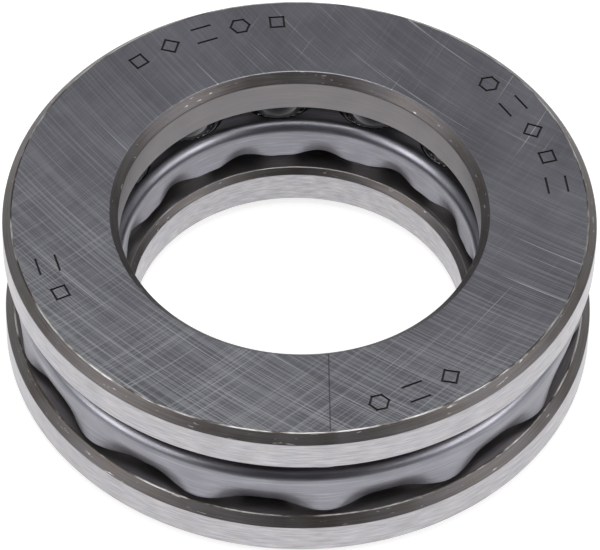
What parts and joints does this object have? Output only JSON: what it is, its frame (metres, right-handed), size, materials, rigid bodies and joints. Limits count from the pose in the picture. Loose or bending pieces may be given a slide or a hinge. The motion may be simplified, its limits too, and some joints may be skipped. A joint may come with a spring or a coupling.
{
  "type": "thrust ball bearing",
  "caption": "Single-direction thrust ball bearing: two grooved steel washers with a caged ring of balls rolling between them, for axial load on a shaft.",
  "frame": {"origin": "centre of the shaft washer's seat face, on the bearing axis at the bottom", "axes": "+Z along the bearing axis from the shaft washer to the housing washer; +X from the axis through the first ball at rest"},
  "size_m": [0.03, 0.03, 0.009],
  "materials": {
    "ground_steel": "ground and fine-satin hardened bearing steel, darker oxide left on the outer chamfers",
    "pressed_steel": "smooth satin, tumbled after pressing",
    "polished_steel": "mirror polished"
  },
  "bodies": {
    "shaft_washer": {"shaft_washer": "ground_steel"},
    "housing_washer": {"housing_washer": "ground_steel"},
    "cage": {"cage": "pressed_steel"},
    "ball_01": {"ball_01": "polished_steel"},
    "ball_02": {"ball_02": "polished_steel"},
    "ball_03": {"ball_03": "polished_steel"},
    "ball_04": {"ball_04": "polished_steel"},
    "ball_05": {"ball_05": "polished_steel"},
    "ball_06": {"ball_06": "polished_steel"},
    "ball_07": {"ball_07": "polished_steel"},
    "ball_08": {"ball_08": "polished_steel"},
    "ball_09": {"ball_09": "polished_steel"},
    "ball_10": {"ball_10": "polished_steel"},
    "ball_11": {"ball_11": "polished_steel"},
    "ball_12": {"ball_12": "polished_steel"},
    "ball_13": {"ball_13": "polished_steel"},
    "ball_14": {"ball_14": "polished_steel"}
  },
  "joints": [
    {"name": "housing_washer_spin", "type": "hinge", "parent": "shaft_washer", "child": "housing_washer", "pos_m": [0, 0, 0.0077], "axis": [0, 0, 1], "continuous": true},
    {"name": "cage_spin", "type": "hinge", "parent": "shaft_washer", "child": "cage", "pos_m": [0, 0, 0.0045], "axis": [0, 0, 1], "continuous": true},
    {"name": "ball_01_roll", "type": "hinge", "parent": "cage", "child": "ball_01", "pos_m": [0.01175, 0, 0.0045], "axis": [1, 0, 0], "continuous": true},
    {"name": "ball_02_roll", "type": "hinge", "parent": "cage", "child": "ball_02", "pos_m": [0.01059, 0.0051, 0.0045], "axis": [0.901, 0.4339, 0], "continuous": true},
    {"name": "ball_03_roll", "type": "hinge", "parent": "cage", "child": "ball_03", "pos_m": [0.00733, 0.00919, 0.0045], "axis": [0.6235, 0.7818, 0], "continuous": true},
    {"name": "ball_04_roll", "type": "hinge", "parent": "cage", "child": "ball_04", "pos_m": [0.00261, 0.01146, 0.0045], "axis": [0.2225, 0.9749, 0], "continuous": true},
    {"name": "ball_05_roll", "type": "hinge", "parent": "cage", "child": "ball_05", "pos_m": [-0.00261, 0.01146, 0.0045], "axis": [-0.2225, 0.9749, 0], "continuous": true},
    {"name": "ball_06_roll", "type": "hinge", "parent": "cage", "child": "ball_06", "pos_m": [-0.00733, 0.00919, 0.0045], "axis": [-0.6235, 0.7818, 0], "continuous": true},
    {"name": "ball_07_roll", "type": "hinge", "parent": "cage", "child": "ball_07", "pos_m": [-0.01059, 0.0051, 0.0045], "axis": [-0.901, 0.4339, 0], "continuous": true},
    {"name": "ball_08_roll", "type": "hinge", "parent": "cage", "child": "ball_08", "pos_m": [-0.01175, 0, 0.0045], "axis": [-1, 0, 0], "continuous": true},
    {"name": "ball_09_roll", "type": "hinge", "parent": "cage", "child": "ball_09", "pos_m": [-0.01059, -0.0051, 0.0045], "axis": [-0.901, -0.4339, 0], "continuous": true},
    {"name": "ball_10_roll", "type": "hinge", "parent": "cage", "child": "ball_10", "pos_m": [-0.00733, -0.00919, 0.0045], "axis": [-0.6235, -0.7818, 0], "continuous": true},
    {"name": "ball_11_roll", "type": "hinge", "parent": "cage", "child": "ball_11", "pos_m": [-0.00261, -0.01146, 0.0045], "axis": [-0.2225, -0.9749, 0], "continuous": true},
    {"name": "ball_12_roll", "type": "hinge", "parent": "cage", "child": "ball_12", "pos_m": [0.00261, -0.01146, 0.0045], "axis": [0.2225, -0.9749, 0], "continuous": true},
    {"name": "ball_13_roll", "type": "hinge", "parent": "cage", "child": "ball_13", "pos_m": [0.00733, -0.00919, 0.0045], "axis": [0.6235, -0.7818, 0], "continuous": true},
    {"name": "ball_14_roll", "type": "hinge", "parent": "cage", "child": "ball_14", "pos_m": [0.01059, -0.0051, 0.0045], "axis": [0.901, -0.4339, 0], "continuous": true}
  ],
  "couplings": [
    {"joint": "cage_spin", "follows": "housing_washer_spin", "ratio": 0.5},
    {"joint": "ball_01_roll", "follows": "housing_washer_spin", "ratio": -2.4675},
    {"joint": "ball_02_roll", "follows": "housing_washer_spin", "ratio": -2.4675},
    {"joint": "ball_03_roll", "follows": "housing_washer_spin", "ratio": -2.4675},
    {"joint": "ball_04_roll", "follows": "housing_washer_spin", "ratio": -2.4675},
    {"joint": "ball_05_roll", "follows": "housing_washer_spin", "ratio": -2.4675},
    {"joint": "ball_06_roll", "follows": "housing_washer_spin", "ratio": -2.4675},
    {"joint": "ball_07_roll", "follows": "housing_washer_spin", "ratio": -2.4675},
    {"joint": "ball_08_roll", "follows": "housing_washer_spin", "ratio": -2.4675},
    {"joint": "ball_09_roll", "follows": "housing_washer_spin", "ratio": -2.4675},
    {"joint": "ball_10_roll", "follows": "housing_washer_spin", "ratio": -2.4675},
    {"joint": "ball_11_roll", "follows": "housing_washer_spin", "ratio": -2.4675},
    {"joint": "ball_12_roll", "follows": "housing_washer_spin", "ratio": -2.4675},
    {"joint": "ball_13_roll", "follows": "housing_washer_spin", "ratio": -2.4675},
    {"joint": "ball_14_roll", "follows": "housing_washer_spin", "ratio": -2.4675}
  ]
}
